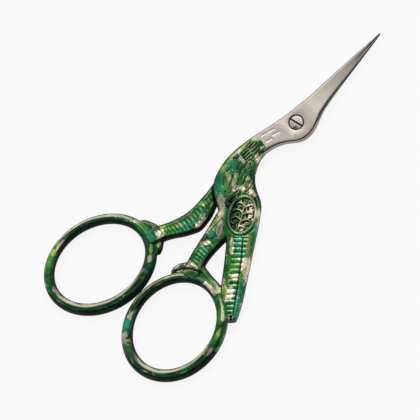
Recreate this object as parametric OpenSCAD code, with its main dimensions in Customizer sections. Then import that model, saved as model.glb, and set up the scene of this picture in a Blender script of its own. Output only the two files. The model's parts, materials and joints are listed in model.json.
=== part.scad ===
// Stork embroidery scissors: two forged halves that turn on a slotted pivot screw.
// The origin is on the pivot axis, on the plane that the back lies on.
// +Y runs to the tips, +X to the tail side, +Z to the screw head. Lengths are in millimetres.

/* [Blades and halves] */
// Length of the blades from the pivot axis to the tips
blade_len = 27.9; // [18:0.1:45]
// Length of the bird from the pivot axis to the end of its tail
bird_len = 44.4; // [39:0.1:52]
// Thickness of one half at the pivot and the neck
half_t = 1.6; // [1.2:0.05:2.2]
// Blade thickness above the parting plane at the back of the tip
tip_back_t = 0.5; // [0.3:0.05:0.9]
// Blade thickness along the cutting edge
edge_t = 0.3; // [0.15:0.05:0.6]
// Rounding of the outer corners of the forgings
corner_r = 0.45; // [0.2:0.05:0.6]
// Height of the dome of the bird's body over the flat of the neck
body_crown = 0.5; // [0.1:0.05:0.9]
// Width of the rounding from the face of the bird and its legs down to the parting plane
side_w = 1; // [0.5:0.05:1.2]

/* [Finger rings] */
// Width of the ring stock where it is slimmest
ring_w = 2.3; // [1.8:0.05:3]
// Extra width of the left ring where it is heaviest, beside the other ring
left_swell = 0.65; // [0:0.05:1]
// Extra width of the right ring where it is heaviest, beside the tail
right_swell = 0.65; // [0:0.05:1]
// Thickness of the ring stock along the pivot axis
ring_t = 3.1; // [2:0.05:3.2]
// Long opening of the left ring
left_long = 22.5; // [18:0.1:28]
// Short opening of the left ring
left_short = 17; // [14:0.1:22]
// Lean of the left ring's top to the centre line, in degrees
left_lean = 17; // [0:1:25]
// Long opening of the right ring
right_long = 21.5; // [18:0.1:28]
// Short opening of the right ring
right_short = 17.8; // [14:0.1:22]
// Lean of the right ring's top to the centre line, in degrees
right_lean = 2; // [0:1:15]
// Gap between the closed rings
ring_gap = 0.15; // [0.1:0.05:1.5]

/* [Pivot screw] */
// Diameter of the screw head
head_d = 3.1; // [2.6:0.05:3.6]
// Height of the screw head
head_h = 0.8; // [0.5:0.05:0.9]
// Ring gap round the head in its counterbore
head_gap = 0.3; // [0.1:0.01:0.4]
// Diameter of the plain shank that the front half turns on
shank_d = 2.1; // [1.6:0.05:2.4]
// Diameter of the threaded end in the rear half
thread_d = 1.8; // [1.2:0.05:1.9]
// Width of the driver slot
slot_w = 0.4; // [0.25:0.05:0.7]
// Depth of the driver slot
slot_depth = 0.35; // [0.2:0.05:0.45]
// Direction of the driver slot from the X axis, in degrees
slot_turn = 11; // [0:1:90]

/* [Fits] */
// Radial clearance between the shank and the front half
run_fit = 0.04; // [0.02:0.01:0.08]
// Radial clearance between the threaded end and the rear half
thread_fit = 0.02; // [0.01:0.01:0.05]
// Gap under the screw head
seat_gap = 0.03; // [0.01:0.01:0.1]
// Gap between the shoulders where one half steps past the other
shoulder_gap = 0.3; // [0.15:0.05:0.5]

/* [Carving] */
// Number of feather ribs along the tail
tail_ribs = 17; // [8:1:20]
// Number of ribs on the rear leg
rear_leg_ribs = 15; // [8:1:18]
// Number of rib bands at the foot of the front leg
front_leg_ribs = 7; // [3:1:9]
// Height of the ribs
rib_h = 0.28; // [0.1:0.02:0.4]
// Long outer size of the oval rim round the wing
wing_long = 9.4; // [7:0.1:11]
// Short outer size of the oval rim round the wing
wing_short = 6.8; // [5:0.1:8]
// Thickness of the raised rim round the wing
wing_wire = 0.66; // [0.4:0.02:0.9]
// Width of the stem and the leaves on the wing, as a share of the rim's thickness
leaf_share = 0.9; // [0.5:0.05:1.2]

/* [Hidden] */

steel = [0.70, 0.68, 0.65];
coat = [0.16, 0.42, 0.27];
total_t = 2*half_t;
eps = 0.01;

// Rows across the bird from the tip of the blade to the end of the tail: left x, left y, right x, right y.
// The blade rows give y as a share of the way from the first heel row to the tip.
blade_rows = [
  [-0.34, 1.000, -0.14, 1.000],
  [-0.60, 0.904,  0.12, 0.904],
  [-0.88, 0.783,  0.46, 0.783],
  [-1.16, 0.651,  0.77, 0.651],
  [-1.46, 0.489,  1.12, 0.489],
  [-1.72, 0.320,  1.50, 0.320],
  [-1.93, 0.170,  1.93, 0.170],
  [-2.10, 0.056,  2.42, 0.056]
];
heel_rows = [
  [-2.27,  4.7, 2.86,  4.6],
  [-2.51,  3.3, 3.36,  3.2],
  [-2.74,  1.8, 3.86,  1.6],
  [-3.02,  0.1, 4.02,  0.0],
  [-3.33, -1.5, 3.74, -1.6],
  [-3.68, -3.0, 2.98, -3.0],
  [-4.00, -4.3, 1.92, -4.2],
  [-4.39, -5.6, 0.89, -5.5],
  [-4.79, -7.1, 0.12, -6.9],
  [-5.25, -8.7, -0.42, -8.5],
  [-5.70, -10.4, -0.68, -10.2]
];
// The coat starts at the last heel rows. The body fans round the breast to the root of the tail.
body_rows = [
  [-6.10, -12.2, -0.44, -12.0],
  [-6.42, -14.2,  0.40, -14.0],
  [-6.52, -16.6,  1.88, -16.1],
  [-6.18, -19.3,  4.00, -17.6],
  [-5.20, -22.4,  6.10, -18.6],
  [-3.33, -24.6,  7.65, -19.95],
  [-0.98, -26.1,  8.75, -21.45],
  [ 1.73, -27.6,  9.89, -23.05],
  [ 4.54, -29.1, 10.93, -24.7]
];
tail_rows = [
  [ 6.86, -30.9, 12.00, -26.4],
  [ 9.13, -33.65, 13.76, -29.25],
  [11.32, -36.55, 15.61, -32.15],
  [13.38, -39.3, 17.50, -35.15],
  [15.80, -41.85, 19.31, -38.1],
  [18.16, -43.75, 20.86, -41.0],
  [19.66, -44.4, 21.46, -42.6]
];

// The tables of the bird, its legs and feet are drawn for a tail that ends where the last row does.
fit = bird_len/-tail_rows[len(tail_rows) - 1][1];
heel_left_y = fit*heel_rows[0][1];
heel_right_y = fit*heel_rows[0][3];

// Blade thickness at the share s of the way from the heel to the tip, on the back and on the edge.
function back_t(s) = half_t - (half_t - tip_back_t)*pow(s, 0.9);
function blade_edge_t(s) = edge_t + (half_t - edge_t)*pow(1 - s, 2.2);

// The rounding of the sides grows over the rows from the end of the steel, the dome over the first body
// rows, and the dome falls again by a share for each tail row.
soft_rows = 4;
dome_rows = 5;
dome_fall_share = 0.14;

// All rows, each with its outer thickness on the left and on the right, the height of its dome, and how far
// its sides are rounded: 0 on the steel, 1 on the coat.
blade_n = len(blade_rows);
heel_n = len(heel_rows);
body_n = len(body_rows);
rows = concat(
  [for (r = blade_rows) [
    fit*r[0], heel_left_y + r[1]*(blade_len - heel_left_y),
    fit*r[2], heel_right_y + r[3]*(blade_len - heel_right_y),
    back_t(r[1]), blade_edge_t(r[1]), 0, 0]],
  [for (i = [0:heel_n - 1])
    concat(fit*heel_rows[i], [half_t, half_t, 0, max(0, (i - heel_n + soft_rows - 1)/soft_rows)])],
  [for (i = [0:body_n - 1]) concat(fit*body_rows[i], [half_t, half_t,
    body_crown*sin(90*min(1, (i + 1)/dome_rows)), min(1, (i + soft_rows - 1)/soft_rows)])],
  [for (i = [0:len(tail_rows) - 1])
    concat(fit*tail_rows[i], [half_t, half_t, body_crown*(1 - dome_fall_share*i), 1])]
);
last_heel = blade_n + heel_n - 1;
first_tail = blade_n + heel_n + body_n;
last_row = len(rows) - 1;

// The lap between the halves, seen from above: the rear half fills it below the parting plane.
lap_line = [
  [-0.2, -11.4], [0.2, -13], [0.9, -15.5], [1.4, -18], [1.5, -20.5], [1.2, -22.8], [0.5, -25], [-0.5, -27.2]
];
lap_side = 9;
lap_area = concat(fit*lap_line, [
  [-lap_side, fit*lap_line[len(lap_line) - 1][1]],
  [-lap_side, blade_len + lap_side],
  [lap_side, blade_len + lap_side],
  [lap_side, fit*lap_line[0][1]]
]);

// Rows down the legs: left x, left y, right x, right y. The last row's middle lies on the ring's path.
rear_leg = fit*[
  [-5.10, -22.9, -1.04, -25.1],
  [-4.57, -25.5, -0.32, -27.0],
  [-4.41, -27.9,  0.36, -28.9],
  [-4.41, -30.2,  0.66, -31.0],
  [-4.63, -32.1,  0.66, -33.1],
  [-5.18, -34.1, -0.25, -35.0],
  [-5.95, -36.0, -1.26, -36.6],
  [-6.78, -37.6, -2.41, -38.1],
  [-7.53, -38.9, -3.41, -39.6],
  [-8.50, -40.6, -4.20, -41.2],
  [-9.10, -42.22, -4.90, -43.1]
];
front_leg = fit*[
  [ 0.50, -26.2,  7.60, -27.6],
  [ 0.70, -28.0,  7.15, -29.3],
  [ 1.15, -29.9,  6.86, -30.7],
  [ 1.60, -31.9,  6.78, -32.4],
  [ 2.00, -34.0,  6.76, -34.2],
  [ 2.44, -36.2,  6.85, -36.2],
  [ 2.85, -38.3,  7.15, -37.9],
  [ 3.40, -40.2,  7.70, -39.6],
  [ 4.20, -42.83,  8.80, -42.17]
];
// The ribs of a leg run between these two places of its rows.
rear_leg_span = [0.9, 8.1];
front_leg_span = [3.6, 6.7];

// Dome of the legs, drop of the rear leg where it passes under the body and the rows that it takes,
// slight dome of the back before it is faced flat, and depth of the screw's end.
leg_dome = 0.12;
leg_dip = 1.3;
dip_rows = 1.5;
back_dome = 0.05;
end_recess = 0.06;

// Claws and toes that lie along the rings, from the left tip to the foot and from the foot to the right tip:
// x, y, radius. The height of a toe is given as a share of its width. A thinner web joins the toes to the
// ring. Its far side lies inside the stock, between two angles from the top of the ring.
toe_share = 1.15;
web_t = 1.9;
web_inset = 0.45;
left_web = [-22, 26];
right_web = [-60, 25];
rear_toes = [
  fit*[[-11.5, -41.4, 0.4], [-10.6, -40.7, 0.8], [-9.3, -40.2, 0.95], [-7.6, -39.9, 1.15],
    [-5.9, -40.4, 1.3]],
  fit*[[-5.4, -40.7, 1.2], [-4.2, -41.7, 0.9], [-3.4, -42.8, 0.75], [-2.95, -43.7, 0.45]]
];
front_toes = [
  fit*[[2.55, -44.6, 0.4], [2.5, -43.4, 0.65], [2.95, -42.2, 0.8], [3.9, -41.1, 0.95], [5.2, -39.6, 1.3]],
  fit*[[5.2, -39.6, 1.3], [7.3, -39.45, 1.15], [9.8, -39.75, 1.05], [12.2, -39.95, 1.1], [14.6, -40.6, 1.1]]
];

// Each ring: long opening, short opening, turn, side, extra width where its stock is heaviest, and where
// that is, in degrees from the top of the ring. The closed rings meet a little to the right of the pivot.
left_ring = [left_long, left_short, -left_lean, -1, left_swell, 80];
right_ring = [right_long, right_short, right_lean, 1, right_swell, 130];
meet_x = 0.15;
ring_steps = 56;
ring_sides = 12;

// Middle of the wing on the body, its turn, and the heights of its sunk ground and of its rim over the flat
// of the neck. The height of a leaf is given as a share of its width.
wing_middle = fit*[5.8, -23.9];
wing_turn = 28;
ground_h = 0.2;
rim_h = 0.8*body_crown;
leaf_height_share = 1.2;

// Stem, leaves and curls on the wing, as shares of its half sizes: x, y, and the share of the full width.
wing_stem = [
  [0.06, 0.82, 0.5], [0.0, 0.55, 0.7], [-0.03, 0.36, 1.2], [-0.02, 0.14, 0.6], [0.0, -0.08, 1.15],
  [0.02, -0.3, 0.6], [-0.02, -0.52, 1.3], [0.0, -0.82, 0.5]
];
wing_leaves = [
  [[0.0, 0.5, 0.7], [-0.3, 0.62, 1.2], [-0.55, 0.55, 0.9], [-0.62, 0.38, 0.5]],
  [[0.0, 0.12, 0.7], [-0.34, 0.24, 1.2], [-0.68, 0.14, 0.95], [-0.8, -0.06, 0.5]],
  [[0.0, -0.28, 0.7], [-0.34, -0.16, 1.1], [-0.64, -0.28, 0.9], [-0.66, -0.5, 0.7], [-0.42, -0.54, 0.5]],
  [[0.0, 0.4, 0.7], [0.3, 0.58, 1.2], [0.52, 0.66, 0.9], [0.62, 0.52, 0.5]],
  [[0.0, 0.02, 0.7], [0.34, 0.2, 1.2], [0.68, 0.26, 0.95], [0.8, 0.08, 0.5]],
  [[0.0, -0.38, 0.7], [0.34, -0.18, 1.1], [0.66, -0.16, 0.95], [0.74, -0.36, 0.7], [0.5, -0.44, 0.5]],
  [[0.0, -0.62, 0.7], [0.24, -0.56, 1.0], [0.46, -0.62, 0.6]]
];

// Point on a smooth curve through p1 and p2, at the share t between them.
function between(p0, p1, p2, p3, t) =
  (2*p1 + (p2 - p0)*t + (2*p0 - 5*p1 + 4*p2 - p3)*t*t + (3*p1 - p0 - 3*p2 + p3)*t*t*t)/2;

// Row at a place s that counts rows from 0 and may fall between two of them.
function row_at(table, s) =
  let (last = len(table) - 1, i = min(floor(s), last - 1))
  between(table[max(i - 1, 0)], table[i], table[i + 1], table[min(i + 2, last)], s - i);

// Height of a rib pattern: zero between ribs, one on their backs.
function ridge(phase) = 0.5 - 0.5*cos(360*phase);

// Depth of the carving on the tail at the share u of its face: a border strip, two columns of ribs
// with a groove between them, and a plain strip. Where there is no phase there is no carving.
function tail_carving(u, phase) =
  is_undef(phase) || u < 0.2 || u > 0.9 ? 0 : abs(u - 0.57) < 0.02 ? 1 : 1 - ridge(phase);

// Depth of the carving on a leg: ribs between two plain edges.
function leg_carving(u, phase) = is_undef(phase) || u < 0.1 || u > 0.9 ? 0 : 1 - ridge(phase);

// One cross-section as a loop of points from a to b over the outer face, then back over the inner face.
// out_a and out_b are the heights of the outer face at its ends, inner is the height of the inner face.
// soft grows from 0, for small corners, to 1, for sides that are round down to the middle.
function section(a, b, out_a, out_b, inner, dome, soft, shares, depths) =
  let (
    w = norm(b - a),
    dir = (b - a)/w,
    side = sign(out_a - inner),
    ta = abs(out_a - inner),
    tb = abs(out_b - inner),
    ra = min(corner_r, w/3, ta*0.4),
    rb = min(corner_r, w/3, tb*0.4),
    wa = ra + (min(side_w, w/3) - ra)*soft,
    wb = rb + (min(side_w, w/3) - rb)*soft,
    ha = ra + (ta*0.47 - ra)*soft,
    hb = rb + (tb*0.47 - rb)*soft,
    at = function(d, h) [a[0] + dir[0]*d, a[1] + dir[1]*d, h]
  )
  concat(
    [for (t = [0:30:90]) at(wa*(1 - cos(t)), out_a - side*ha*(1 - sin(t)))],
    [for (i = [0:len(shares) - 1])
      let (u = shares[i])
      at(wa + (w - wa - wb)*u, out_a + (out_b - out_a)*u + side*(dome*sin(180*u) - depths[i]))],
    [for (t = [90:-30:0]) at(w - wb*(1 - cos(t)), out_b - side*hb*(1 - sin(t)))],
    [for (t = [0:45:90]) at(w - wb*(1 - cos(t)), inner + side*hb*(1 - sin(t)))],
    [for (t = [90:-45:0]) at(wa*(1 - cos(t)), inner + side*ha*(1 - sin(t)))]
  );

// Closed solid through a list of loops that have the same number of points.
module skin(loops, flip = false) {
  n = len(loops[0]);
  m = len(loops);
  middle = function(loop) [for (k = [0:2]) [for (p = loop) p[k]]*[for (p = loop) 1]/n];
  points = concat([for (loop = loops) each loop], [middle(loops[0]), middle(loops[m - 1])]);
  sides = [for (i = [0:m - 2]) for (j = [0:n - 1])
    let (a = i*n + j, b = i*n + (j + 1)%n) each [[a, b, b + n], [a, b + n, a + n]]];
  caps = [for (j = [0:n - 1])
    let (k = (j + 1)%n) each [[m*n, k, j], [m*n + 1, (m - 1)*n + j, (m - 1)*n + k]]];
  faces = concat(sides, caps);
  polyhedron(
    points = points,
    faces = flip ? [for (f = faces) [f[2], f[1], f[0]]] : faces,
    convexity = 10
  );
}

// Places along a table of rows: steps for each row from s0 to s1.
function places(s0, s1, steps) = [for (i = [0:floor((s1 - s0)*steps)]) s0 + i/steps];

bird_shares = [0.10, 0.18, 0.25, 0.54, 0.57, 0.60, 0.87, 0.93];
rear_shares = [0.5];
leg_shares = [0.06, 0.12, 0.5, 0.88, 0.94];

// The bird seen from the front: blade, heel, neck, body and ribbed tail in one forging blank.
module bird_blank() {
  rib_0 = first_tail - 0.6;
  rib_1 = last_row - 0.7;
  plain = concat(places(0, blade_n - 1, 1), places(blade_n - 0.5, last_heel, 2),
    places(last_heel + 1/3, first_tail - 1, 3));
  carved = [for (i = [0:3*tail_ribs]) rib_0 + (rib_1 - rib_0)*i/(3*tail_ribs)];
  loop = function(s, phase = undef) let (r = row_at(rows, s))
    section([r[0], r[1]], [r[2], r[3]], half_t + r[4], half_t + r[5], 0, r[6], r[7], bird_shares,
      [for (u = bird_shares) rib_h*tail_carving(u, phase)]);
  skin(concat(
    [for (s = plain) loop(s)],
    [for (i = [0:3*tail_ribs]) loop(carved[i], i/3)],
    [for (s = [last_row - 0.5, last_row - 0.2, last_row]) loop(s)]
  ));
}

// The rear half's share of blade, heel, neck and body: the same outline with its face to the back.
module rear_blank() {
  spots = concat(places(0, blade_n - 1, 1), places(blade_n - 0.5, last_heel, 2),
    places(last_heel + 1/3, last_heel + 7, 3));
  skin([for (s = spots) let (r = row_at(rows, s))
    section([r[0], r[1]], [r[2], r[3]], half_t - r[5], half_t - r[4], total_t, back_dome, r[7], rear_shares,
      [0])],
    flip = true);
}

// A leg of full thickness, plain at the top and ribbed over its span. Its top may start lower by dip,
// where it comes out from under the body.
module leg(table, span, ribs, dip = 0) {
  last = len(table) - 1;
  loop = function(s, phase = undef) let (r = row_at(table, s), top = total_t - dip*max(0, 1 - s/dip_rows))
    section([r[0], r[1]], [r[2], r[3]], top, top, 0, leg_dome, 1, leg_shares,
      [for (u = leg_shares) rib_h*leg_carving(u, phase)]);
  skin(concat(
    [for (s = places(0, span[0] - 0.25, 2)) loop(s)],
    [for (i = [0:3*ribs]) loop(span[0] + (span[1] - span[0])*i/(3*ribs), i/3)],
    [for (s = places(ceil(2*span[1] + 0.5)/2, last, 2)) loop(s)]
  ));
}

// A bar through points that give x, y and radius, with its middle at the height z and its height given as
// a share of its width.
module bar(table, z, share, around, steps) {
  last = len(table) - 1;
  skin([for (s = places(0, last, steps))
    let (p = row_at(table, s), q = row_at(table, min(s + 0.1, last)), o = row_at(table, max(s - 0.1, 0)),
      d = [q[0] - o[0], q[1] - o[1]], across = [d[1], -d[0]]/norm(d))
    [for (k = [0:around - 1])
      let (v = 360*k/around)
      [p[0] + across[0]*p[2]*cos(v), p[1] + across[1]*p[2]*cos(v), z + share*p[2]*sin(v)]]]);
}

// Closed loop of stock round an oval path with the half sizes half[0] and half[1], its middle at the origin.
// width is a function of the angle from the top.
module oval_stock(half, width, thick, steps, around) {
  points = [for (i = [0:steps - 1]) for (k = [0:around - 1])
    let (
      t = 360*i/steps,
      v = 360*k/around,
      out = [half[1]*sin(t), half[0]*cos(t)]/norm([half[1]*sin(t), half[0]*cos(t)]),
      d = cos(v)*width(t)/2
    )
    [half[0]*sin(t) + out[0]*d, half[1]*cos(t) + out[1]*d, thick/2*sin(v)]];
  faces = [for (i = [0:steps - 1]) for (k = [0:around - 1])
    let (
      a0 = i*around + k,
      b0 = i*around + (k + 1)%around,
      a1 = (i + 1)%steps*around + k,
      b1 = (i + 1)%steps*around + (k + 1)%around
    )
    each [[a0, b1, b0], [a0, a1, b1]]];
  polyhedron(points = points, faces = faces, convexity = 10);
}

// Width of a ring's stock at the angle t, and half sizes of the path at its middle.
function stock_w(ring, t) = ring_w + ring[4]*(0.5 + 0.5*cos(t - ring[5]));
function half_path(ring) = [ring[1] + ring_w + ring[4]/2, ring[0] + ring_w + ring[4]/2]/2;

// Point where a leg meets the path of its ring.
function foot(table) = let (r = table[len(table) - 1]) [r[0] + r[2], r[1] + r[3]]/2;

// Middle of a ring: its side keeps the gap to the other ring and its path runs through the foot.
function ring_middle(ring, foot) =
  let (
    h = half_path(ring),
    c = cos(ring[2]),
    s = sin(ring[2]),
    x = meet_x + ring[3]*(ring_gap/2 + norm([h[0]*c, h[1]*s]) + stock_w(ring, -90*ring[3])/2),
    dx = foot[0] - x,
    k = pow(s/h[0], 2) + pow(c/h[1], 2),
    m = dx*c*s*(1/(h[0]*h[0]) - 1/(h[1]*h[1])),
    n = dx*dx*(pow(c/h[0], 2) + pow(s/h[1], 2)) - 1
  )
  [x, foot[1] - (sqrt(m*m - k*n) - m)/k];

// Point inside the stock of a ring, a little within its path, at the angle t from its top.
function ring_spot(ring, foot, t) =
  let (
    h = half_path(ring),
    x = (h[0] - web_inset)*sin(t),
    y = (h[1] - web_inset)*cos(t),
    c = cos(ring[2]),
    s = sin(ring[2])
  )
  ring_middle(ring, foot) + [x*c - y*s, x*s + y*c];

// A ring with the foot that holds it: two toes and the web between them and the ring, whose far side
// runs inside the stock from the angle arc[1] back to arc[0].
module footed_ring(ring, foot, toes, arc) {
  middle = ring_middle(ring, foot);
  translate([middle[0], middle[1], ring_t/2])
    rotate([0, 0, ring[2]])
      oval_stock(half_path(ring), function(t) stock_w(ring, t), ring_t, ring_steps, ring_sides);
  for (t = toes) bar(t, half_t, toe_share, 8, 3);
  translate([0, 0, half_t - web_t/2]) linear_extrude(web_t) polygon(concat(
    [for (t = toes) for (p = t) if (p != toes[0][len(toes[0]) - 1]) [p[0], p[1]]],
    [for (t = [arc[1]:-5:arc[0]]) ring_spot(ring, foot, t)]
  ));
}

// The wing's own place: x across it, y along it to the upper end.
module on_wing(z) {
  translate([wing_middle[0], wing_middle[1], total_t + z]) rotate([0, 0, wing_turn]) children();
}

// Sunk ground of the wing, as a cutter.
module wing_well() {
  half = [wing_short - wing_wire, wing_long - wing_wire]/2;
  on_wing(ground_h) linear_extrude(total_t)
    polygon([for (t = [0:9:351]) [half[0]*sin(t), half[1]*cos(t)]]);
}

// Raised oval rim round the wing, and the stem with its leaves that rises from the sunk ground.
module wing_relief() {
  half = [wing_short - wing_wire, wing_long - wing_wire]/2;
  leaf_r = leaf_share*wing_wire/2;
  on_wing(rim_h) oval_stock(half, function(t) wing_wire, wing_wire, 40, 6);
  for (t = concat([wing_stem], wing_leaves)) on_wing(ground_h)
    bar([for (p = t) [p[0]*half[0], p[1]*half[1], p[2]*leaf_r]], 0, leaf_height_share, 6, 2);
}

// Everything of the rear half that the front half covers, seen from above.
module lap(grow) {
  offset(r = grow) polygon(lap_area);
}

// Outline of the front half's body and neck, which the rear leg steps down to pass under.
module front_outline(grow) {
  spots = places(0, last_row, 3);
  left = [for (s = spots) let (r = row_at(rows, s)) [r[0], r[1]]];
  right = [for (i = [len(spots) - 1:-1:0]) let (r = row_at(rows, spots[i])) [r[2], r[3]]];
  offset(r = grow) polygon(concat(left, right));
}

module front_half() {
  color(coat) difference() {
    union() {
      difference() {
        bird_blank();
        wing_well();
      }
      wing_relief();
      leg(front_leg, front_leg_span, front_leg_ribs);
      footed_ring(right_ring, foot(front_leg), front_toes, right_web);
    }
    translate([0, 0, -1]) linear_extrude(half_t + 1) lap(shoulder_gap);
    cylinder(r = shank_d/2 + run_fit, h = total_t + 1, $fn = 64);
    translate([0, 0, total_t - head_h - seat_gap])
      cylinder(r = head_d/2 + head_gap, h = head_h + 1, $fn = 64);
  }
}

module rear_half() {
  color(coat) difference() {
    union() {
      intersection() {
        rear_blank();
        linear_extrude(half_t) lap(0);
      }
      difference() {
        union() {
          leg(rear_leg, rear_leg_span, rear_leg_ribs, leg_dip);
          footed_ring(left_ring, foot(rear_leg), rear_toes, left_web);
        }
        translate([0, 0, half_t]) linear_extrude(total_t) front_outline(shoulder_gap);
      }
    }
    translate([0, 0, -1]) cylinder(r = thread_d/2 + thread_fit, h = total_t, $fn = 64);
  }
}

module pivot_screw() {
  head_r = head_d/2;
  dome_h = 0.12;
  dome_r = (head_r*head_r + dome_h*dome_h)/(2*dome_h);
  color(steel) difference() {
    union() {
      translate([0, 0, end_recess]) cylinder(r = thread_d/2, h = half_t, $fn = 64);
      translate([0, 0, half_t]) cylinder(r = shank_d/2, h = half_t - head_h + eps, $fn = 64);
      intersection() {
        translate([0, 0, total_t - head_h]) cylinder(r = head_r, h = head_h, $fn = 64);
        translate([0, 0, total_t - dome_r]) sphere(r = dome_r, $fn = 128);
      }
    }
    rotate([0, 0, slot_turn]) translate([-head_d, -slot_w/2, total_t - slot_depth])
      cube([2*head_d, slot_w, head_h]);
  }
}

front_half();
rear_half();
pivot_screw();
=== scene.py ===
import bpy, json, math
import numpy as np
from mathutils import Matrix, Vector, noise


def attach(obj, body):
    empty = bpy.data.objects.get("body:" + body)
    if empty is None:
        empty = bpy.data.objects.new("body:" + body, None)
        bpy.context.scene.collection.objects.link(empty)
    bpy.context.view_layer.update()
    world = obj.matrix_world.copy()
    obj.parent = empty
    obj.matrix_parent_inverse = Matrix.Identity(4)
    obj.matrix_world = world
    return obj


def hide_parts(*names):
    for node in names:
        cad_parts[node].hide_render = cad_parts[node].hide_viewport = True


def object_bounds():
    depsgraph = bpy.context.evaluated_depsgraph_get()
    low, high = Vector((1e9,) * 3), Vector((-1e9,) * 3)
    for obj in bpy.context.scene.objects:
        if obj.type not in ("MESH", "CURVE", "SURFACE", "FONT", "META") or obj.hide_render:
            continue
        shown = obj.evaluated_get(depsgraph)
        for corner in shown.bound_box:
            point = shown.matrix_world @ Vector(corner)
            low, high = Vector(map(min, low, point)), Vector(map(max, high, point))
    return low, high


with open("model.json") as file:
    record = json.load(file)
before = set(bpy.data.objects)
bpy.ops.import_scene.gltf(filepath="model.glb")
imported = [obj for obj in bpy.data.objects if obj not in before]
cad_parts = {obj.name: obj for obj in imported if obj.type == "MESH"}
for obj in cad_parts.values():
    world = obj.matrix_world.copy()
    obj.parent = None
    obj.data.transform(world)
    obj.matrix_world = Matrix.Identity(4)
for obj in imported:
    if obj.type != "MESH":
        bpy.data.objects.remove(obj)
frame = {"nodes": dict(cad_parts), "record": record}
cadLow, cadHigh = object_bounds()
bpy.ops.object.select_all(action="DESELECT")
print("frame loaded")

bench = 1000  # pieces are worked a thousand times up, so one unit on the bench is a millimetre


# picking, modifiers and moves


def pick(piece, *others):
    bpy.ops.object.select_all(action="DESELECT")
    for o in (piece, *others):
        o.select_set(True)
    bpy.context.view_layer.objects.active = piece


def finishWith(piece, kind, **settings):
    pick(piece)
    modifier = piece.modifiers.new(kind.title(), kind)
    for key, value in settings.items():
        setattr(modifier, key, value)
    bpy.ops.object.modifier_apply(modifier=modifier.name)


def benchCopy(node, name):
    piece = bpy.data.objects.new(name, frame["nodes"][node].data.copy())
    bpy.context.scene.collection.objects.link(piece)
    piece.data.materials.clear()
    pick(piece)
    if piece.data.has_custom_normals:
        bpy.ops.mesh.customdata_custom_splitnormals_clear()
    piece.scale = (bench,) * 3
    bpy.ops.object.transform_apply(location=False, rotation=False, scale=True)
    bpy.ops.object.mode_set(mode="EDIT")
    bpy.ops.mesh.select_all(action="SELECT")
    bpy.ops.mesh.remove_doubles(threshold=0.0005)
    bpy.ops.object.mode_set(mode="OBJECT")
    return piece


def cutAway(piece, place, normal):  # what lies on the normal's side of the plane goes, and the cut is closed
    pick(piece)
    bpy.ops.object.mode_set(mode="EDIT")
    bpy.ops.mesh.select_all(action="SELECT")
    bpy.ops.mesh.bisect(plane_co=place, plane_no=normal, use_fill=True, clear_outer=True, threshold=0.0001)
    bpy.ops.object.mode_set(mode="OBJECT")


def offBench(piece, body, node):
    pick(piece)
    piece.scale = (1 / bench,) * 3
    bpy.ops.object.transform_apply(location=True, rotation=True, scale=True)
    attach(piece, body)
    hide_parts(node)
    return piece


def points(piece):
    co = np.zeros(len(piece.data.vertices) * 3)
    piece.data.vertices.foreach_get("co", co)
    return co.reshape(-1, 3)


def setPoints(piece, co):
    piece.data.vertices.foreach_set("co", co.ravel())
    piece.data.update()


def normals(piece):
    found = np.zeros(len(piece.data.vertices) * 3)
    piece.data.vertices.foreach_get("normal", found)
    return found.reshape(-1, 3)


def ramp(values, low, high):  # 0 at low and 1 at high
    return np.clip((values - low) / (high - low), 0, 1)


# relief: the dies struck raised lines and grooves into the upper face, as strokes with a width and a height

relief = dict(above=2.3, steep=0.35, level=0.65, gap=0.08)  # lowest place, slopes with none and all of it


def curveThrough(route):  # points close together on a smooth curve through the route
    route = np.array(route, float)
    if len(route) == 2:
        count = max(2, int(np.hypot(*(route[1] - route[0])) / relief["gap"]))
        return route[0] + (route[1] - route[0]) * np.linspace(0, 1, count)[:, None]
    ends = np.vstack([2 * route[0] - route[1], route, 2 * route[-1] - route[-2]])
    found = []
    for p0, p1, p2, p3 in zip(ends, ends[1:], ends[2:], ends[3:]):
        count = max(2, int(np.hypot(*(p2 - p1)) / relief["gap"]))
        t = np.linspace(0, 1, count, endpoint=False)[:, None]
        found.append((2 * p1 + (p2 - p0) * t + (2 * p0 - 5 * p1 + 4 * p2 - p3) * t ** 2
                      + (3 * p1 - p0 - 3 * p2 + p3) * t ** 3) / 2)
    return np.vstack(found + [route[-1:]])


def strike(piece, strokes):  # each stroke is a route, a half width and a height, below zero for a groove
    co = points(piece)
    face = ramp(normals(piece)[:, 2], relief["steep"], relief["level"])
    face[co[:, 2] < relief["above"]] = 0
    up, down = np.zeros(len(co)), np.zeros(len(co))
    for route, wide, high in strokes:
        line = curveThrough(route)
        low, top = line.min(0) - wide, line.max(0) + wide
        near = np.flatnonzero(((co[:, :2] > low) & (co[:, :2] < top)).all(1) & (face > 0))
        if not len(near):
            continue
        gap = np.sqrt(((co[near, None, :2] - line[None]) ** 2).sum(2)).min(1) / wide
        lift = high * np.clip(1 - gap ** 2, 0, 1) ** 1.5
        if high > 0:
            up[near] = np.maximum(up[near], lift)
        else:
            down[near] = np.minimum(down[near], lift)
    co[:, 2] += (up + down) * face
    setPoints(piece, co)


def evened(piece, values, passes):  # each vertex takes the mean of its neighbours
    edges = np.zeros(len(piece.data.edges) * 2, int)
    piece.data.edges.foreach_get("vertices", edges)
    a, b = edges.reshape(-1, 2).T
    count = np.bincount(a, minlength=len(values)) + np.bincount(b, minlength=len(values))
    for _ in range(passes):
        total = np.bincount(a, values[b], len(values)) + np.bincount(b, values[a], len(values))
        values = total / np.maximum(count, 1)
    return values


hollows = dict(reach=8, full=0.1)  # passes of evening, and the depth in millimetres that counts as 1


def noteHollows(piece):  # an attribute from -1 in the hollows to 1 on the crests
    co = points(piece)
    mean = np.stack([evened(piece, co[:, k].copy(), hollows["reach"]) for k in range(3)], 1)
    rise = ((co - mean) * normals(piece)).sum(1) / hollows["full"]
    layer = piece.data.attributes.new("hollow", "FLOAT", "POINT")
    layer.data.foreach_set("value", np.clip(rise, -1, 1).astype(np.float32))


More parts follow.
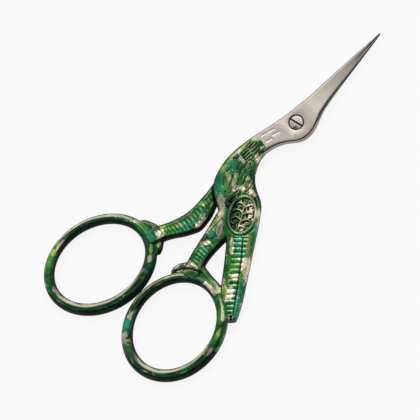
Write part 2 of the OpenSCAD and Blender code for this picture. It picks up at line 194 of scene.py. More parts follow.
def colour(*levels):  # 0 to 255 as seen, turned to the light that a shader works in
    return tuple(((x / 255 + 0.055) / 1.055) ** 2.4 if x > 10 else x / 255 / 12.92 for x in levels)


# lacquers of the coat

lacquer = dict(
    black=colour(8, 20, 14), dark=colour(20, 66, 36), green=colour(34, 108, 48), leaf=colour(80, 150, 60),
    teal=colour(40, 142, 106), lime=colour(166, 198, 100), cream=colour(240, 230, 198),
    rose=colour(234, 214, 190), olive=colour(124, 124, 80))

# patches that the eye knows this coat by: tone, middle x and y, half sizes and turn,
# in millimetres and degrees
# the thin cream streaks on the rings are partly the coat's colour and partly painted highlight
patches = [
    ("leaf", -4.8, -13.0, 0.7, 0.7, 23), ("green", -4.5, -11.1, 1.1, 1.1, 3),
    ("dark", -2.6, -9.4, 0.8, 1.5, 53), ("olive", -3.3, -10.8, 0.4, 0.9, -2),
    ("green", -2.7, -12.9, 0.8, 1.4, -7), ("rose", -3.3, -14.8, 0.4, 1.1, 88),
    ("rose", -1.3, -12.0, 0.5, 0.8, 23), ("olive", -1.3, -14.3, 0.8, 0.7, 43),
    ("teal", -4.1, -16.9, 1.2, 1.4, 8), ("cream", -4.5, -8.9, 0.5, 0.9, -7),
    ("lime", -5.1, -11.2, 0.4, 1.9, -5), ("cream", -5.4, -14.0, 0.4, 1.4, 1),
    ("lime", -5.6, -16.4, 0.4, 1.2, 5), ("lime", -5.1, -19.1, 0.7, 0.9, 8),
    ("leaf", -4.8, -20.3, 0.6, 0.5, 13), ("teal", -2.9, -22.4, 1.1, 2.6, 43),
    ("rose", -2.6, -19.7, 0.5, 0.9, 43), ("olive", -1.2, -20.4, 0.4, 1.6, 28),
    ("cream", -1.0, -19.4, 0.5, 1.4, 35), ("rose", 0.5, -20.4, 0.5, 0.8, 13),
    ("green", 0.4, -16.6, 1.5, 1.7, 23), ("dark", 1.0, -15.8, 0.8, 1.4, 33),
    ("olive", 2.0, -18.0, 1.1, 0.7, 43), ("rose", 3.9, -18.8, 1.0, 0.7, 23),
    ("rose", 1.5, -19.5, 0.7, 0.5, 43), ("green", 1.8, -21.0, 0.7, 0.6, -2),
    ("dark", 1.9, -23.0, 0.5, 1.8, -5), ("rose", -0.2, -24.8, 0.9, 1.2, 43),
    ("cream", 1.4, -26.3, 0.8, 1.9, 43), ("lime", 2.4, -29.6, 0.6, 1.5, 13),
    ("rose", 3.9, -29.6, 0.8, 2.1, 38), ("teal", 3.3, -31.7, 0.7, 1.1, 28),
    ("dark", 4.8, -26.0, 1.3, 2.6, 33), ("green", 5.6, -28.5, 0.5, 1.7, 43),
    ("olive", 6.3, -23.7, 0.8, 2.6, 38), ("rose", 6.8, -21.9, 1.0, 2.3, 53),
    ("rose", 7.7, -26.0, 0.8, 0.9, 43), ("teal", 10.1, -24.4, 0.8, 1.5, 23),
    ("leaf", 6.3, -19.1, 0.4, 1.1, 43), ("cream", 8.2, -21.3, 0.3, 1.4, 43),
    ("rose", 9.0, -30.7, 0.5, 2.1, 43), ("green", 11.6, -33.4, 0.5, 1.6, 38),
    ("leaf", 13.4, -36.1, 0.4, 1.8, 35), ("lime", 14.8, -39.2, 0.8, 1.1, 43),
    ("teal", 9.7, -28.6, 1.2, 1.8, 43), ("olive", 11.6, -28.1, 0.5, 2.5, 43),
    ("green", 13.0, -27.8, 0.6, 3.7, 35), ("rose", 14.7, -32.0, 1.1, 1.8, 48),
    ("rose", 14.6, -35.3, 1.0, 0.7, 43), ("green", 16.6, -36.1, 1.0, 0.8, 43),
    ("cream", 16.2, -38.7, 0.8, 1.4, 33), ("teal", 19.0, -39.7, 1.1, 3.3, 38),
    ("dark", 20.7, -43.1, 1.4, 1.0, 43), ("dark", 19.2, -37.1, 0.7, 3.9, 35),
    ("cream", 4.0, -34.2, 1.0, 0.5, 43), ("leaf", 3.9, -36.8, 0.7, 1.4, 8),
    ("teal", 5.0, -35.8, 0.8, 1.0, 43), ("green", 4.5, -38.7, 0.7, 1.1, 8),
    ("rose", 4.3, -40.3, 1.3, 0.8, 43), ("cream", 3.2, -43.1, 0.8, 0.9, 43),
    ("cream", 4.8, -42.2, 1.5, 0.3, 43), ("olive", 6.3, -39.0, 1.4, 1.0, 43),
    ("green", 6.6, -41.2, 1.5, 0.7, 30), ("dark", 8.4, -40.6, 1.2, 0.6, 10),
    ("lime", 8.8, -39.3, 0.5, 0.8, 73), ("green", 5.0, -42.9, 2.7, 0.3, 43),
    ("green", 10.8, -39.9, 0.8, 2.7, 81), ("cream", 16.5, -42.0, 0.3, 1.4, 58),
    ("cream", 18.4, -43.6, 0.3, 1.4, 43), ("lime", 20.6, -47.1, 0.4, 1.2, 23),
    ("leaf", 20.9, -48.9, 0.4, 1.4, 8), ("green", 21.2, -45.9, 0.8, 2.1, 28),
    ("rose", 21.8, -51.9, 0.6, 1.2, -2), ("green", 21.7, -54.9, 0.8, 1.6, -2),
    ("teal", 21.7, -57.8, 0.7, 1.4, -17), ("rose", 2.3, -48.3, 0.3, 1.2, -17),
    ("lime", 1.5, -52.7, 0.4, 1.4, 3), ("rose", 2.4, -58.0, 0.5, 1.3, 28),
    ("teal", 3.5, -60.0, 0.6, 1.2, 38), ("cream", -16.1, -43.3, 2.7, 0.3, 43),
    ("cream", -11.7, -41.1, 1.0, 0.5, 43), ("leaf", -9.3, -41.0, 0.7, 1.1, 73),
    ("teal", -6.5, -41.9, 0.8, 2.0, 68), ("lime", -4.7, -43.8, 0.4, 1.1, 43),
    ("cream", -3.3, -45.7, 0.5, 1.0, 33), ("teal", -1.8, -49.4, 0.6, 1.4, 3),
    ("rose", -1.8, -52.2, 0.5, 1.3, -7), ("leaf", -1.9, -54.3, 0.4, 1.0, -17),
    ("cream", -5.8, -40.2, 0.6, 0.7, 43), ("lime", -4.5, -41.6, 0.5, 1.2, 43),
    ("dark", -7.6, -40.0, 0.5, 1.5, 88), ("lime", -6.2, -38.3, 0.5, 0.7, 43),
    ("lime", -21.1, -52.0, 0.5, 1.5, -17), ("teal", -21.2, -54.4, 0.6, 1.2, -7),
    ("cream", -21.2, -57.5, 0.5, 1.4, 5), ("lime", -21.0, -59.8, 0.6, 1.0, 23),
    ("rose", -14.6, -65.5, 0.7, 1.1, 88), ("cream", -10.7, -65.2, 0.5, 1.5, 103),
    ("cream", -6.2, -62.5, 2.3, 0.3, 43), ("teal", -3.2, -57.7, 0.4, 1.9, -22),
    # the black patch here is a painted shadow on the rear leg, under the front body's edge
    ("black", -1.5, -25.8, 0.45, 2.7, 63), ("lime", -3.2, -28.2, 1.0, 0.7, 43),
    ("green", -2.6, -30.7, 1.0, 1.0, 43), ("olive", -3.2, -32.4, 0.9, 1.0, 43),
    ("leaf", -4.5, -36.7, 1.2, 0.7, 43), ("olive", -3.6, -35.1, 0.8, 0.8, 43),
    ("teal", -1.4, -32.6, 1.8, 0.4, 63),
]

# painted lines along the rings where they run across the light, by how far the stock faces the picture's
# top:
# painted shade (dark, black), painted highlight (cream) and painted reflection (teal);
# tone, where the line is gone and full on its lower side, the same on its upper side, its share,
# and which of the two streaks breaks it
paintedRingLines = [
    ("dark", (-0.45, -0.3), (0.45, 0.35), 1, 0), ("black", (-0.15, -0.05), (0.36, 0.28), 1, 1),
    ("cream", (0.4, 0.48), (0.68, 0.6), 0.85, 1), ("teal", (-1.5, -1.4), (-0.4, -0.55), 0.5, 0),
]
ringBand = dict(inner=(7.5, 8), outer=(14.6, 14), below=(-41.5, -43), crossing=(0.3, 0.75))
patchwork = dict(bend=0.35, knots=0.9, streaks=0.3, sway=0.2, breaks=((-0.5, -0.2), (-0.4, -0.1)))
topWay = np.array((-0.68, 0.73))  # towards the picture's top, over the scissors


def lay(tones, name, share):  # one lacquer over what is there, by its share
    tones += (np.array((*lacquer[name], 1)) - tones) * share[:, None]


def wander(co, knots):  # three smooth values at each point, of noise that Blender seeds with the time
    return np.array([noise.noise_vector(Vector(place) * knots) for place in co])


def notePatches(piece):  # a colour attribute of patches and painted light lines on the rings, with how much of it covers the mottle below as its alpha
    co = points(piece)
    tones = np.zeros((len(co), 4))
    x, y = (co[:, :2] + wander(co, patchwork["knots"])[:, :2] * patchwork["bend"]).T
    for name, px, py, wide, long, turn in patches:
        c, s = math.cos(math.radians(turn)), math.sin(math.radians(turn))
        across, along = (x - px) * c + (y - py) * s, (y - py) * c - (x - px) * s
        share = ramp(np.hypot(across / wide, along / long), 1.25, 0.8)
        lay(tones, name, share * share * (3 - 2 * share) * 0.92)
    streak = wander(co, patchwork["streaks"])
    toTop = normals(piece)[:, :2] @ topWay + streak[:, 2] * patchwork["sway"]
    breaks = [ramp(streak[:, k], *patchwork["breaks"][k]) for k in (0, 1)]
    for mount in frame["record"]["mounts"]:
        if mount["name"] not in ("thumb_ring", "finger_ring"):
            continue
        out = co[:, :2] - np.array(mount["pos_m"][:2]) * bench
        reach = np.hypot(*out.T)
        ring = ramp(reach, *ringBand["inner"]) * ramp(reach, *ringBand["outer"])
        ring *= ramp(co[:, 1], *ringBand["below"])
        ring *= ramp(abs(out @ topWay) / reach, *ringBand["crossing"])
        # painted shade, highlight and reflection lines along the rings
        for name, lower, upper, most, k in paintedRingLines:
            line = ramp(toTop, *lower) * ramp(toTop, *upper)
            lay(tones, name, line * breaks[k] * most * ring)
    layer = piece.data.color_attributes.new("patch", "FLOAT_COLOR", "POINT")
    layer.data.foreach_set("color", tones.astype(np.float32).ravel())


# camera, as the photograph looks down on the scissors

camera = dict(lean=16, turn=43.1, distance=1.0, frameWidth=0.0959, aim=(-0.00068, -0.02808, 0.00323))


def placeCamera():
    lean, turn = math.radians(camera["lean"]), math.radians(camera["turn"])
    back = Vector((math.sin(lean), 0, math.cos(lean)))
    across = Vector((math.cos(lean), 0, -math.sin(lean)))
    along = Vector((0, 1, 0))
    right = across * math.cos(turn) + along * math.sin(turn)
    up = along * math.cos(turn) - across * math.sin(turn)
    data = bpy.data.cameras.new("camera")
    data.sensor_width = 36
    data.lens = data.sensor_width * camera["distance"] / camera["frameWidth"]
    data.clip_start, data.clip_end = 0.05, 10
    eye = bpy.data.objects.new("camera", data)
    place = Vector(camera["aim"]) + back * camera["distance"]
    eye.matrix_world = Matrix.Translation(place) @ Matrix((right, up, back)).transposed().to_4x4()
    bpy.context.scene.collection.objects.link(eye)
    bpy.context.scene.camera = eye
    return right, up


screenRight, screenUp = placeCamera()
print("camera placed")


# shader writing: a wire is one socket's value, and arithmetic on wires adds Math nodes


class Wire:
    def __init__(self, paint, socket):
        self.paint, self.socket = paint, socket

    def sum(self, kind, other=None, flip=False):
        values = [self] if other is None else [other, self] if flip else [self, other]
        return self.paint.add("ShaderNodeMath", dict(operation=kind), dict(enumerate(values)))

    def __add__(self, other):
        return self.sum("ADD", other)

    def __radd__(self, other):
        return self.sum("ADD", other)

    def __sub__(self, other):
        return self.sum("SUBTRACT", other)

    def __rsub__(self, other):
        return self.sum("SUBTRACT", other, flip=True)

    def __mul__(self, other):
        return self.sum("MULTIPLY", other)

    def __rmul__(self, other):
        return self.sum("MULTIPLY", other)

    def __pow__(self, other):
        return self.sum("POWER", other)

    def least(self, other):
        return self.sum("MINIMUM", other)

    def most(self, other):
        return self.sum("MAXIMUM", other)

    def size(self):
        return self.sum("ABSOLUTE")


class Paint:
    def __init__(self, owner):  # a new material, or the world
        self.owner = owner
        owner.use_nodes = True
        self.tree = owner.node_tree
        self.tree.nodes.clear()

    def add(self, kind, settings=None, values=None, out=0):
        node = self.tree.nodes.new(kind)
        for key, value in (settings or {}).items():
            setattr(node, key, value)
        for key, value in (values or {}).items():
            if isinstance(value, Wire):
                self.tree.links.new(value.socket, node.inputs[key])
            else:
                node.inputs[key].default_value = value
        return Wire(self, node.outputs[out]) if node.outputs else None

    def place(self):  # in metres on the object
        return self.add("ShaderNodeTexCoord", out=3)

    def facing(self):
        return self.split(self.add("ShaderNodeTexCoord", out=1))

    def noted(self, name, out=2):  # an attribute's value, or with 0 and 3 its colour and alpha
        return self.add("ShaderNodeAttribute", dict(attribute_name=name), out=out)

    def split(self, vector):
        node = self.add("ShaderNodeSeparateXYZ", values={0: vector}).socket.node
        return [Wire(self, s) for s in node.outputs]

    def noise(self, where, scale, detail=2, rough=0.5, out=0):
        return self.add("ShaderNodeTexNoise", None,
                        {"Vector": where, "Scale": scale, "Detail": detail, "Roughness": rough}, out)

    def step(self, value, low, high):  # 0 below low, 1 above high, smooth between
        return self.add("ShaderNodeMapRange", dict(interpolation_type="SMOOTHSTEP"),
                        {0: value, 1: low, 2: high, 3: 0, 4: 1})

    def mix(self, share, first, second):
        pad = [x if isinstance(x, Wire) else (*x, 1) for x in (first, second)]
        return self.add("ShaderNodeMix", dict(data_type="RGBA"), {0: share, 6: pad[0], 7: pad[1]}, out=2)

    def vector(self, kind, first, second):
        return self.add("ShaderNodeVectorMath", dict(operation=kind), {0: first, 1: second})

    def spot(self, where, x, y, wide, long, turn):  # 0 in an oval's middle, 1 at its edge, in millimetres
        middle, sizes = (x / bench, y / bench, 0), (wide / bench, long / bench, 1)
        held = self.add("ShaderNodeMapping", dict(vector_type="TEXTURE"),
                        {0: where, 1: middle, 2: (0, 0, math.radians(turn)), 3: sizes})
        return self.add("ShaderNodeVectorMath", dict(operation="LENGTH"), {0: held}, out=1)

    def finish(self, surface):
        self.add("ShaderNodeOutputMaterial", None, {0: surface})
        return self.owner


def newPaint(name):
    return Paint(bpy.data.materials.new(name))


# steel of the blades and the screw

steel = dict(
    tone=colour(176, 168, 159), shade=colour(160, 152, 143), bright=colour(236, 230, 224),
    paintedShade=colour(44, 34, 26), wallShade=colour(18, 15, 12), rough=0.42, grain=2600, cloud=160,
    headReach=1.95, headTop=3.12, lap=1.6, edge=2.6, bladeDrop=0.9)


def steelShader(p):
    where = p.place()
    x, y, z = p.split(where)
    brushed = p.vector("MULTIPLY", where, (1, 0.06, 1))
    grain = p.noise(brushed, steel["grain"], 3, 0.6)
    cloud = p.noise(where, steel["cloud"], 2)
    tone = p.mix(cloud * 0.6 + grain * 0.4, steel["shade"], steel["tone"])
    height, fromScrew = z * bench, (x * x + y * y) ** 0.5 * bench
    inHead = p.step(fromScrew, steel["headReach"], steel["headReach"] - 0.05)
    sunk = inHead * p.step(height, steel["headTop"], steel["headTop"] - 0.14)  # painted shade in slot and counterbore
    # a painted dark reflection low on the screw head
    darkReflection = p.step(p.spot(where, 0.7, -1.05, 0.7, 0.4, 43), 1.2, 0.6) * 0.8
    tone = p.mix(sunk.most(darkReflection), tone, steel["paintedShade"])
    tone = p.mix(p.step(p.noted("hollow"), -0.1, -0.4) * 0.9, tone, steel["bright"])  # painted highlight in the dashes
    lap = p.step((height - steel["lap"]).size(), 0.2, 0.1)
    edge = steel["edge"] - p.step(y * bench, 2, 5) * steel["bladeDrop"]
    dark = p.step(height - edge, 0, 0.1).most(lap).most(p.step(height, 0.35, 0.2))
    line = p.step(p.facing()[2], 0.85, 0.65) * dark * 0.95  # painted shade and dark reflection: walls are dark at their edge, lap and foot
    tone = p.mix(line, tone, steel["wallShade"])
    bump = p.add("ShaderNodeBump", None, {"Strength": 0.12, "Distance": 0.00002, "Height": grain})
    return p.add("ShaderNodeBsdfPrincipled", None, {
        "Base Color": tone, "Metallic": 1 - line, "Specular IOR Level": 0.1, "Normal": bump,
        "Roughness": steel["rough"] + 0.12 * (cloud - 0.5)})


def steelPaint():
    p = newPaint("blade_steel")
    return p.finish(steelShader(p))


# coat of the bird and rings: patches of green lacquer over bright metal, darker in the hollows

coat = dict(
    rough=0.18, metallic=0.8, gloss=0.12, fine=1500, broad=260, mottle=620, warp=800, bend=0.0034, cells=380,
    borderY=-8.7, ragged=3.6, ringsY=-42, legsLine=-12.9)


def coatPaint():
    p = newPaint("coat")
    where = p.place()
    x, y = [part * bench for part in p.split(where)[:2]]
    fine = p.noise(where, coat["fine"], 3, 0.6)
    broad = p.noise(where, coat["broad"], 3, 0.55)
    mottle = p.split(p.noise(where, coat["mottle"], 4, 0.62, out=1))
    warp = p.vector("SUBTRACT", p.noise(where, coat["warp"], 3, 0.65, out=1), (0.5,) * 3)
    bent = p.vector("ADD", where, p.vector("MULTIPLY", warp, (coat["bend"],) * 3))
    cells = {"Vector": bent, "Scale": coat["cells"]}
    cell = p.split(p.add("ShaderNodeTexVoronoi", dict(feature="F1"), cells, out=1))

    def over(tone, share, name):
        return p.mix(share, tone, lacquer[name])

    tone = p.mix(p.step(broad, 0.42, 0.6), lacquer["dark"], lacquer["green"])
    tone = over(tone, p.step(cell[0], 0.66, 0.74) * 0.7, "leaf")
    tone = over(tone, p.step(cell[1], 0.8, 0.84) * 0.8, "teal")
    tone = over(tone, p.step(cell[2], 0.9, 0.94) * 0.8, "rose")
    tone = p.vector("ADD", p.mix(p.noted("patch", 3), tone, (0, 0, 0)), p.noted("patch", 0))
    onRing = p.step(y, coat["ringsY"], coat["ringsY"] - 1)
    tone = over(tone, p.step(mottle[0], 0.48, 0.36) * 0.5, "dark")
    tone = over(tone, p.step(mottle[1], 0.56, 0.66) * (0.4 - 0.15 * onRing), "leaf")
    tone = over(tone, p.step(mottle[2], 0.58, 0.68) * (0.5 - 0.3 * onRing), "cream")
    hollow = p.noted("hollow")
    tone = over(tone, p.step(fine, 0.4, 0.8) * 0.18, "black")
    # darker in the hollows, a little lighter on the crests
    tone = over(tone, p.step(hollow, -0.1, -0.8) * 0.85, "black")
    tone = over(tone, p.step(hollow, 0.2, 0.9) * 0.2, "cream")
    nx, ny, upward = p.facing()
    toTop = ny * topWay[1] + nx * topWay[0]
    away = 0 - toTop
    onBird = p.step(x + y * 0.7, coat["legsLine"], coat["legsLine"] + 1)  # 1 on neck, body and tail
    onLeg = (1 - onBird) * p.step(y, coat["ringsY"] - 0.5, coat["ringsY"] + 0.5)
    tone = over(tone, onLeg * p.step(broad, 0.3, 0.6) * 0.65, "dark")
    tone = over(tone, onRing * p.step(broad, 0.6, 0.4) * 0.5, "dark")
    litEdge = p.step(toTop, 0.2, 0.5) * p.step(upward, 0.6, 0.75)  # painted highlight on the edges that face the light
    tone = over(tone, litEdge * (0.5 - 0.4 * onLeg), "cream")
    tone = over(tone, p.step(away - onBird, 0.25, 0.42) * 0.9, "black")  # dark down the shaded side
    # painted shade: steep walls go near black and lose their metal and gloss, how steep depends on which way
    # they face
    shaded = p.step(nx, -0.2, -0.5) * (1 - onRing) * 0.28 - p.step(away, 0, 0.1) * onBird * 0.42
    rim = p.step(upward - shaded, 0.66, 0.44)
    enamel = p.add("ShaderNodeBsdfPrincipled", None, {
        "Base Color": over(tone, rim * 0.95, "black"), "Metallic": coat["metallic"] * (1 - rim),
        "Roughness": coat["rough"] + 0.12 * fine + 0.3 * rim, "Specular IOR Level": 0.1,
        "Coat Weight": coat["gloss"] * (1 - rim), "Coat Roughness": 0.05})
    right = (x + 3.5).most(0).least(4) * 0.28 + (x + 1.3).most(0).least(2) * 1.2  # the coat ends lower there
    edge = y + right + (mottle[0] - 0.5) * coat["ragged"] - coat["borderY"]
    bare = p.step(edge, -0.08, 0.08)
    return p.finish(p.add("ShaderNodeMixShader", None, {0: bare, 1: enamel, 2: steelShader(p)}))


# finger rings as drawn stock: openings, turn, extra width and where it is heaviest,
# in millimetres and degrees

rings = dict(radius=10, steps=176, around=40, stock=2.3, swell=0.65, thick=3.1)
leftRing = dict(mount="thumb_ring", long=22.5, short=17, turn=-17, heavy=80)
rightRing = dict(mount="finger_ring", long=21.5, short=17.8, turn=2, heavy=130)


def ovalRing(name, ring):
    middle = next(m for m in frame["record"]["mounts"] if m["name"] == ring["mount"])["pos_m"]
    bpy.ops.mesh.primitive_torus_add(major_radius=rings["radius"], minor_radius=1,
                                     major_segments=rings["steps"], minor_segments=rings["around"])
    piece = bpy.context.active_object
    piece.name = name
    spread = rings["stock"] + rings["swell"] / 2
    a, b = (ring["long"] + spread) / 2, (ring["short"] + spread) / 2
    heavy = math.radians(ring["heavy"])
    co = points(piece)
    angle = np.arctan2(co[:, 0], co[:, 1])
    flat = np.hypot(co[:, 0], co[:, 1]) - rings["radius"]
    width = rings["stock"] + rings["swell"] * (0.5 + 0.5 * np.cos(angle - heavy))
    out = np.stack([a * np.sin(angle), b * np.cos(angle)])
    out /= np.hypot(*out)
    shift = rings["swell"] / 4  # the path's middle lies a little off the opening's, to the heavy side
    x = b * np.sin(angle) + out[0] * flat * width / 2 + shift * math.sin(heavy)
    y = a * np.cos(angle) + out[1] * flat * width / 2 + shift * math.cos(heavy)
    z = co[:, 2] * rings["thick"] / 2
    c, s = math.cos(math.radians(ring["turn"])), math.sin(math.radians(ring["turn"]))
    x, y = x * c - y * s + middle[0] * bench, x * s + y * c + middle[1] * bench
    setPoints(piece, np.stack([x, y, z + rings["thick"] / 2], 1))
    pick(piece)
    bpy.ops.object.mode_set(mode="EDIT")
    bpy.ops.mesh.select_all(action="SELECT")
    bpy.ops.mesh.normals_make_consistent(inside=False)
    bpy.ops.object.mode_set(mode="OBJECT")
    return piece


# feathers, scrolls and ribs of the front half: routes are x and y in millimetres

feather = dict(wide=0.18, deep=-0.17, tall=0.14, apart=0.36)
wing = dict(middle=(5.8, -23.9), long=9.4, short=6.8, turn=28, inset=0.66, rim=0.34, line=0.3, tall=0.4)

neckGrooves = [
    [(-4.75, -10.2), (-4.8, -12.0)], [(-4.1, -10.0), (-4.0, -11.7)], [(-4.4, -12.5), (-4.5, -14.0)],
    [(-3.7, -12.0), (-3.75, -14.1)], [(-3.4, -9.6), (-3.35, -11.2)], [(-2.7, -10.4), (-2.75, -11.9)],
    [(-3.05, -12.3), (-3.15, -14.2)], [(-2.3, -12.2), (-2.5, -14.1)], [(-2.0, -10.2), (-1.9, -11.6)],
    [(-1.7, -12.2), (-1.75, -13.6)], [(-1.1, -10.8), (-1.0, -12.4)], [(-2.0, -14.2), (-1.5, -15.8)],
    [(-5.0, -14.4), (-5.05, -15.9)], [(-4.3, -14.5), (-4.5, -15.6)], [(-1.3, -13.8), (-0.6, -15.2)],
]
breastGrooves = [
    [(-3.1, -15.3), (-2.9, -16.3), (-2.7, -17.3)], [(-1.9, -16.2), (-1.6, -17.1), (-1.1, -17.9)],
    [(0.1, -17.0), (0.5, -17.8), (1.0, -18.6)], [(-2.3, -18.6), (-1.8, -19.8), (-1.2, -20.9), (-0.7, -22.0)],
    [(-3.45, -20.5), (-3.0, -21.3), (-2.3, -22.0)], [(-0.45, -20.9), (-0.2, -21.6), (0.25, -22.4)],
    [(-0.95, -22.7), (-0.7, -23.3), (-0.15, -23.8)], [(-4.1, -17.4), (-3.9, -18.3), (-4.0, -19.2)],
    [(-0.6, -18.6), (0.1, -19.6), (0.5, -20.8)], [(0.9, -15.8), (1.5, -16.6), (1.9, -17.6)],
    [(2.6, -17.6), (2.8, -18.6), (2.7, -19.6)], [(-0.9, -15.9), (-0.4, -16.6)], [(1.7, -18.4), (2.2, -18.9)],
]
breastBeads = [
    [(-1.1, -16.4), (-0.9, -17.0), (-0.7, -17.9)], [(-1.7, -18.7), (-0.9, -19.9), (-0.4, -20.6)],
    [(0.0, -17.4), (0.4, -18.1)], [(2.1, -19.3), (2.5, -20.2)], [(2.4, -17.9), (2.7, -18.5)],
    [(-2.4, -15.2), (-2.5, -16.6)], [(1.2, -19.9), (1.7, -21.2)], [(0.3, -22.3), (0.4, -24.0)],
]
collarGrooves = [
    [(1.0, -20.6), (0.95, -22.4), (1.0, -24.8)], [(2.1, -20.6), (1.85, -22.4), (2.1, -25.2)],
    [(1.55, -21.6), (1.45, -23.4), (1.6, -25.2)], [(3.0, -18.9), (3.6, -19.6)], [(4.2, -18.7), (4.8, -19.3)],
]
legGrooves = [
    [(2.75, -27.4), (2.7, -29.0), (2.75, -30.4)], [(3.6, -28.8), (4.3, -30.2), (4.8, -31.8)],
    [(4.6, -28.8), (5.1, -30.0), (5.4, -31.2)],
    [(2.75, -30.6), (3.7, -30.7), (4.3, -31.9), (3.9, -33.0), (3.0, -33.1), (2.6, -32.0), (2.75, -30.6)],
]


def onWing(along, across):  # place on the wing: up along its long axis, across it to the right
    c, s = math.cos(math.radians(wing["turn"])), math.sin(math.radians(wing["turn"]))
    x, y = wing["middle"]
    return x - along * s + across * c, y + along * c + across * s


def ovalRoute(extra, start=0, end=360):  # round the wing, with both axes longer by the extra
    long, short = (wing["long"] + extra) / 2, (wing["short"] + extra) / 2
    turns = [math.radians(a) for a in range(start, end + 1, 12)]
    return [onWing(long * math.cos(a), short * math.sin(a)) for a in turns]


# stem, leaves and holes of the wing: along and across as shares of its half sizes, as in the frame
wingStem = [
    (0.82, 0.06), (0.55, 0), (0.36, -0.03), (0.14, -0.02),
    (-0.08, 0), (-0.3, 0.02), (-0.52, -0.02), (-0.82, 0),
]
wingLeaves = [
    [(0.5, 0), (0.62, -0.3), (0.55, -0.55), (0.38, -0.62)],
    [(0.12, 0), (0.24, -0.34), (0.14, -0.68), (-0.06, -0.8)],
    [(-0.28, 0), (-0.16, -0.34), (-0.28, -0.64), (-0.5, -0.66), (-0.54, -0.42)],
    [(0.4, 0), (0.58, 0.3), (0.66, 0.52), (0.52, 0.62)],
    [(0.02, 0), (0.2, 0.34), (0.26, 0.68), (0.08, 0.8)],
    [(-0.38, 0), (-0.18, 0.34), (-0.16, 0.66), (-0.36, 0.74), (-0.44, 0.5)],
    [(-0.62, 0), (-0.56, 0.24), (-0.62, 0.46)],
]
wingHoles = [
    (0.36, -0.28), (-0.02, -0.32), (-0.44, -0.2), (0.42, 0.3), (0.04, 0.36), (-0.34, 0.22),
    (0.72, 0.3), (-0.72, -0.3), (-0.7, 0.44), (0.76, -0.26), (-0.1, 0.7), (0.34, -0.8),
]


def wingStrokes():
    line, tall, inset = wing["line"], wing["tall"], wing["inset"]
    long, short = (wing["long"] - inset) / 2, (wing["short"] - inset) / 2

    def spot(along, across):
        return onWing(along * long, across * short)

    strokes = [
        (ovalRoute(-inset), wing["rim"], tall * 0.5),
        (ovalRoute(1.3, 10, 130), 0.24, 0.22),  # outer rim over the wing
        (ovalRoute(0.35), 0.2, -0.14),
        (ovalRoute(-1.5), 0.18, -0.12),
        ([spot(*at) for at in wingStem], line, tall * 0.6),
    ]
    for leaf in wingLeaves:
        strokes.append(([spot(*at) for at in leaf], line, tall * 0.7))
        strokes.append(([spot(u - 0.1, v) for u, v in leaf[1:]], line * 0.5, -0.3))
    strokes += [([spot(u, v), spot(u - 0.06, v)], 0.3, -0.34) for u, v in wingHoles]
    return strokes


breastDots = [[(-3.4, -20.45), (-3.45, -20.5)], [(-0.9, -22.65), (-0.95, -22.7)]]
dashes = [
    [(-1.3, -4.2), (-1.9, -5.8)], [(-3.2, -5.8), (-3.7, -7.6)],
    [(-1.5, -6.6), (-1.9, -7.8)], [(-2.7, -4.6), (-3.0, -5.6)],
]
tailTips = [(20.0, -42.4), (20.6, -43.1), (21.4, -44.1)]  # leaves two tips at the tail's end
footCrease = [(3.4, -43.2), (3.9, -42.2), (5.0, -41.2), (6.4, -40.5), (8.1, -39.8)]
tailParting = [(9.6, -27.6), (13.6, -32.6), (20.4, -42.2)]  # parts the tail ribs in two columns


def frontStrokes():
    wide, deep, tall = feather["wide"], feather["deep"], feather["tall"]
    strokes = [(route, wide, deep) for route in neckGrooves + breastGrooves + collarGrooves]
    for route in neckGrooves + collarGrooves[:3]:  # a raised line beside the groove
        strokes.append(([(x + feather["apart"], y) for x, y in route], wide * 0.9, tall))
    strokes += [(route, wide * 1.1, tall) for route in breastBeads]
    strokes += [(route, wide * 0.8, deep * 0.8) for route in legGrooves]
    strokes += [(route, 0.3, deep * 1.2) for route in breastDots]
    strokes += [(route, 0.22, -0.11) for route in dashes]
    strokes += [(tailTips, 0.3, -0.5), (footCrease, 0.26, -0.3), (tailParting, 0.22, -0.24)]
    return strokes + wingStrokes()


# the halves: bird and ring in one below the seam, blade and heel above it

cut = dict(seam=-3.3, spare=1.2, voxel=0.12, most=190000, crease=65)
slide = dict(near=0.1, level=0.7, apart=0.005)


def flattenLap(piece):  # the faces that slide on the other half keep a hair off it
    lap = frame["record"]["behaviour"]["joints"][0]["pos_m"][2] * bench
    co, upward = points(piece), normals(piece)[:, 2]
    near = (abs(co[:, 2] - lap) < slide["near"]) & (abs(upward) > slide["level"])
    co[near, 2] = lap - np.sign(upward[near]) * slide["apart"]
    setPoints(piece, co)


def sculpt(node, name, ring, strokes):
    bird = benchCopy(node, name)
    cutAway(bird, (0, cut["seam"] + cut["spare"], 0), (0, 1, 0))
    finishWith(bird, "REMESH", mode="VOXEL", voxel_size=cut["voxel"])
    finishWith(bird, "SMOOTH", factor=0.5, iterations=3)
    pick(bird, ring)
    bpy.ops.object.join()
    finishWith(bird, "REMESH", mode="VOXEL", voxel_size=cut["voxel"])
    finishWith(bird, "SMOOTH", factor=0.5, iterations=2)
    if strokes:
        strike(bird, strokes)
    setPoints(bird, np.clip(points(bird), np.array(cadLow) * bench, np.array(cadHigh) * bench))
    flattenLap(bird)
    noteHollows(bird)
    notePatches(bird)
    cutAway(bird, (0, cut["seam"], 0), (0, 1, 0))
    triangles = 2 * len(bird.data.polygons)
    finishWith(bird, "DECIMATE", ratio=min(1, cut["most"] / triangles))
    pick(bird)
    bpy.ops.object.shade_smooth_by_angle(angle=math.radians(cut["crease"]))
    print(name, len(bird.data.polygons), "faces")
    return bird


frontBird = sculpt("front_half", "front_bird", ovalRing("right_ring", rightRing), frontStrokes())
rearBird = sculpt("rear_half", "rear_bird", ovalRing("left_ring", leftRing), [])
coatMaterial = coatPaint()
steelMaterial = steelPaint()
for bird in (frontBird, rearBird):
    bird.data.materials.append(coatMaterial)
offBench(frontBird, "front", "front_half")
offBench(rearBird, "rear", "rear_half")

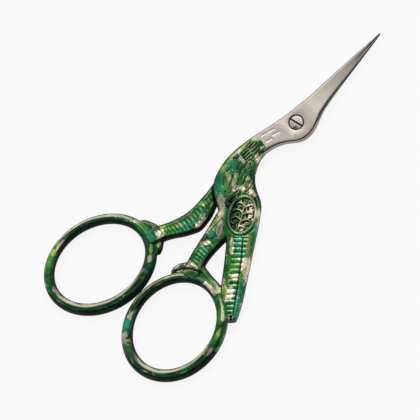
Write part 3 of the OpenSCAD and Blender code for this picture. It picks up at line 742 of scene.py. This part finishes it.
blades = dict(bevel=0.1, bevelOver=35, crease=30)
for node, name, body in (("front_half", "front_blade", "front"), ("rear_half", "rear_blade", "rear")):
    blade = benchCopy(node, name)
    finishWith(blade, "BEVEL", width=blades["bevel"], segments=2, limit_method="ANGLE",
               angle_limit=math.radians(blades["bevelOver"]))
    cutAway(blade, (0, cut["seam"], 0), (0, -1, 0))
    pick(blade)
    bpy.ops.object.shade_smooth_by_angle(angle=math.radians(blades["crease"]))
    blade.data.materials.append(steelMaterial)
    offBench(blade, body, node)
screw = frame["nodes"]["pivot_screw"]
screw.data.materials.clear()
screw.data.materials.append(steelMaterial)
print("pieces made")


# stage: pale floor, white surroundings, soft lamps

stage = dict(white=0.955, glow=0.972, matt=(0.04, 0.04, 0.04, 1), paper=(0.9, 0.9, 0.9, 1), shadow=0.1,
             floorSize=1.2, under=0.00005)
sky = dict(dark=(0.01, 0.01, 0.01), sides=0.44, overhead=0.52, below=0.4, left=0.3, rightLoss=0.4)


def raysThatSee(p):  # the eye, and what it sees in metal
    rays = p.add("ShaderNodeLightPath").socket.node.outputs
    kinds = "Is Camera Ray", "Is Glossy Ray", "Is Transmission Ray"
    eye, mirrored, through = [Wire(p, rays[kind]) for kind in kinds]
    return (eye + mirrored + through).least(1)


def makeFloor():
    bpy.ops.mesh.primitive_plane_add(size=stage["floorSize"], location=(0, 0, cadLow.z - stage["under"]))
    floor = bpy.context.active_object
    floor.name = "floor"
    p = newPaint("floor")
    matt = p.add("ShaderNodeBsdfDiffuse", None, {"Color": stage["matt"]})
    glow = p.add("ShaderNodeEmission", None, {"Color": (1, 1, 1, 1), "Strength": stage["glow"]})
    paper = p.add("ShaderNodeBsdfDiffuse", None, {"Color": stage["paper"]})  # keeps a faint shadow
    pale = p.add("ShaderNodeMixShader", None, {0: stage["shadow"], 1: glow, 2: paper})
    surface = p.add("ShaderNodeMixShader", None, {0: raysThatSee(p), 1: matt, 2: pale})
    floor.data.materials.append(p.finish(surface))


def makeWorld():
    world = bpy.data.worlds.new("studio")
    bpy.context.scene.world = world
    p = Paint(world)
    x, y, z = p.split(p.add("ShaderNodeTexCoord", out=0))
    toTop = x * screenUp.x + y * screenUp.y + z * screenUp.z
    toRight = x * screenRight.x + y * screenRight.y + z * screenRight.z
    sides = p.step(toTop, -0.5, -0.05) * sky["sides"]
    overhead = p.step(toTop + z * 0.35, -0.05, 0.45) * sky["overhead"]
    below = p.step(toTop, -0.48, -0.58) * p.step(z, 0, 0.1) * sky["below"]
    left = p.step(toRight, -0.05, -0.5) * sky["left"]
    kept = 1 - p.step(toRight, 0.15, 0.6) * sky["rightLoss"]
    tone = p.mix((sides + overhead) * kept + below + left, sky["dark"], (1, 1, 1))
    backdrop = raysThatSee(p) * p.step(z, 0.12, 0.04)
    tone = p.mix(backdrop, tone, (stage["white"],) * 3)
    light = p.add("ShaderNodeBackground", None, {"Color": tone, "Strength": 1})
    p.add("ShaderNodeOutputWorld", None, {0: light})


def softBox(name, direction, distance, size, power):
    data = bpy.data.lights.new(name, "AREA")
    data.shape, data.size, data.size_y = "RECTANGLE", size[0], size[1]
    data.energy = power
    lamp = bpy.data.objects.new(name, data)
    way = Vector(direction).normalized()
    lamp.location = Vector(camera["aim"]) + way * distance
    lamp.rotation_mode = "QUATERNION"
    lamp.rotation_quaternion = way.to_track_quat("Z", "Y")
    bpy.context.scene.collection.objects.link(lamp)


makeFloor()
makeWorld()
softBox("key", direction=screenUp * 0.75 + Vector((0, 0, 0.8)), distance=0.7, size=(0.5, 0.25), power=1.6)
bpy.context.scene.view_settings.view_transform = "Standard"
print("stage set")
